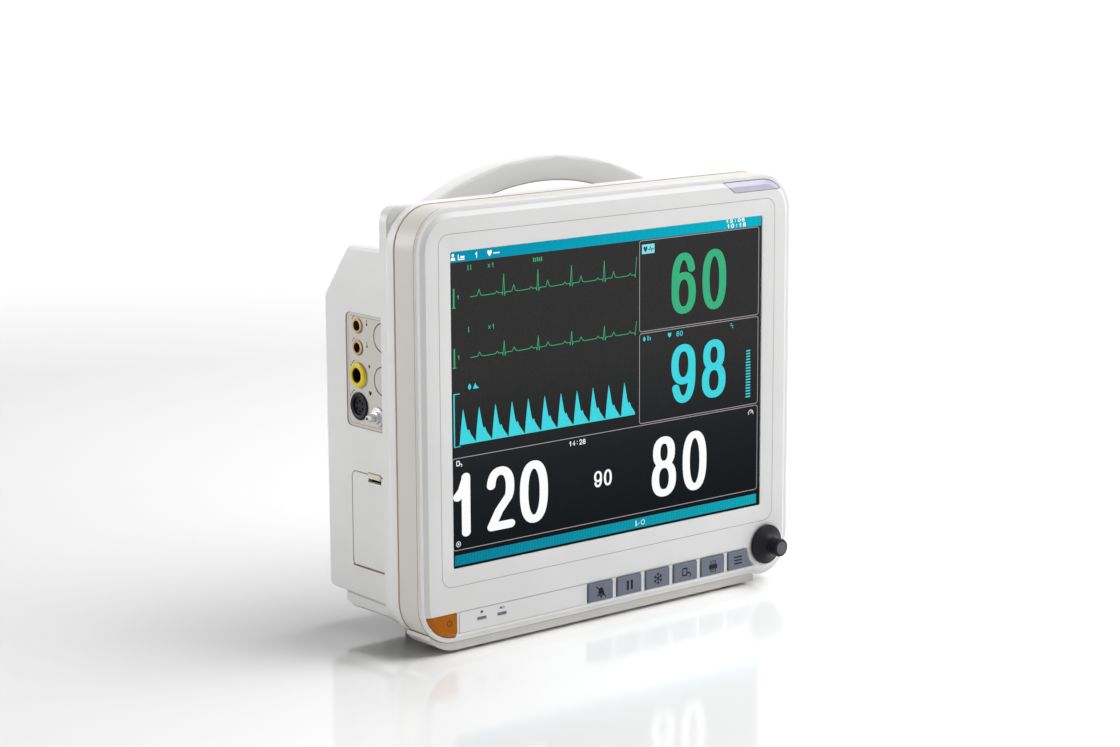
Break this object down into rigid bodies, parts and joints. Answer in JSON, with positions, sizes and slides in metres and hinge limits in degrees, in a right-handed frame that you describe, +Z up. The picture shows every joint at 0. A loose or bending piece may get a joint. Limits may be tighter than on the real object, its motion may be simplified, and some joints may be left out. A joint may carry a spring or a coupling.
{
  "type": "bedside patient monitor",
  "caption": "Bedside vital signs monitor: flat colour display in a rounded light case, soft keys, push-and-turn knob, carry handle, side sockets and battery door.",
  "frame": {"origin": "on the table, below the middle of the monitor's overall box", "axes": "+X to the right seen from the front, +Y from the display towards the back, +Z up"},
  "size_m": [0.2976, 0.1316, 0.2796],
  "materials": {
    "case_white": "satin off-white",
    "case_grey": "satin light grey",
    "panel_grey": "matt warm grey",
    "key_blue_grey": "matt blue-grey",
    "orange": "glossy orange",
    "charcoal": "satin charcoal",
    "lens": "smooth, milky",
    "screen": "anti-glare",
    "module": "plain",
    "yellow": "glossy yellow",
    "cream": "plain cream",
    "rubber": "matt",
    "steel": "plated",
    "brass": "bright",
    "board": "solder mask"
  },
  "bodies": {
    "casing": {"front_bezel": "case_white", "button_strip": "case_white", "rear_shell": "case_white", "bottom_tray": "case_white", "carry_handle": "case_white", "middle_frame": "case_grey", "base_skirt": "case_grey", "battery_pack": "case_grey", "connector_panel": "panel_grey", "blank_plug_upper": "panel_grey", "blank_plug_lower": "panel_grey", "mains_indicator": "key_blue_grey", "battery_indicator": "key_blue_grey", "pulse_socket_core": "charcoal", "heart_socket_shell": "charcoal", "heart_socket_insert": "charcoal", "mains_inlet": "charcoal", "battery_bay": "charcoal", "speaker": "charcoal", "alarm_light": "lens", "cuff_tube": "lens", "display_glass": "screen", "display_module": "module", "pulse_socket_collar": "yellow", "display_cable": "cream", "foot_rear_left": "rubber", "foot_rear_right": "rubber", "foot_front_left": "rubber", "foot_front_right": "rubber", "keypad_mat": "rubber", "display_gasket": "rubber", "encoder_body": "steel", "main_chassis": "steel", "cuff_pump": "steel", "cuff_hose_fitting": "steel", "door_hinge_pin": "steel", "case_screw_1": "steel", "case_screw_2": "steel", "case_screw_3": "steel", "case_screw_4": "steel", "temperature_jack_1": "brass", "temperature_jack_2": "brass", "earth_stud": "brass", "main_board": "board", "parameter_board": "board", "keypad_board": "board", "alarm_board": "board", "power_supply": "board"},
    "power_button": {"power_button": "orange"},
    "knob_plunger": {"encoder_plunger": "charcoal"},
    "knob": {"control_knob": "charcoal", "encoder_shaft": "steel"},
    "battery_door": {"battery_door": "case_white"},
    "door_latch": {"door_latch": "cream"},
    "key_silence": {"key_silence": "key_blue_grey"},
    "key_pause": {"key_pause": "key_blue_grey"},
    "key_freeze": {"key_freeze": "key_blue_grey"},
    "key_cuff": {"key_cuff": "key_blue_grey"},
    "key_print": {"key_print": "key_blue_grey"},
    "key_menu": {"key_menu": "key_blue_grey"}
  },
  "joints": [
    {"name": "power_press", "type": "slide", "parent": "casing", "child": "power_button", "axis": [0, 1, 0], "range_m": [0, 0.001], "stiffness_N_per_m": 900, "springref_m": -0.0003},
    {"name": "silence_press", "type": "slide", "parent": "casing", "child": "key_silence", "axis": [0, 1, 0], "range_m": [0, 0.0008], "stiffness_N_per_m": 900, "springref_m": -0.0003},
    {"name": "pause_press", "type": "slide", "parent": "casing", "child": "key_pause", "axis": [0, 1, 0], "range_m": [0, 0.0008], "stiffness_N_per_m": 900, "springref_m": -0.0003},
    {"name": "freeze_press", "type": "slide", "parent": "casing", "child": "key_freeze", "axis": [0, 1, 0], "range_m": [0, 0.0008], "stiffness_N_per_m": 900, "springref_m": -0.0003},
    {"name": "cuff_press", "type": "slide", "parent": "casing", "child": "key_cuff", "axis": [0, 1, 0], "range_m": [0, 0.0008], "stiffness_N_per_m": 900, "springref_m": -0.0003},
    {"name": "print_press", "type": "slide", "parent": "casing", "child": "key_print", "axis": [0, 1, 0], "range_m": [0, 0.0008], "stiffness_N_per_m": 900, "springref_m": -0.0003},
    {"name": "menu_press", "type": "slide", "parent": "casing", "child": "key_menu", "axis": [0, 1, 0], "range_m": [0, 0.0008], "stiffness_N_per_m": 900, "springref_m": -0.0003},
    {"name": "knob_push", "type": "slide", "parent": "casing", "child": "knob_plunger", "axis": [0, 1, 0], "range_m": [0, 0.0005], "stiffness_N_per_m": 4000, "springref_m": -0.0003},
    {"name": "knob_turn", "type": "hinge", "parent": "knob_plunger", "child": "knob", "pos_m": [0.1272, -0.04805, 0.0256], "axis": [0, -1, 0], "continuous": true},
    {"name": "battery_door_hinge", "type": "hinge", "parent": "casing", "child": "battery_door", "pos_m": [-0.1368, 0.0104, 0.0432], "axis": [0, -1, 0], "range_deg": [0, 95]},
    {"name": "latch_slide", "type": "slide", "parent": "battery_door", "child": "door_latch", "axis": [0, 0, -1], "range_m": [0, 0.002], "stiffness_N_per_m": 300, "springref_m": -0.0005}
  ]
}
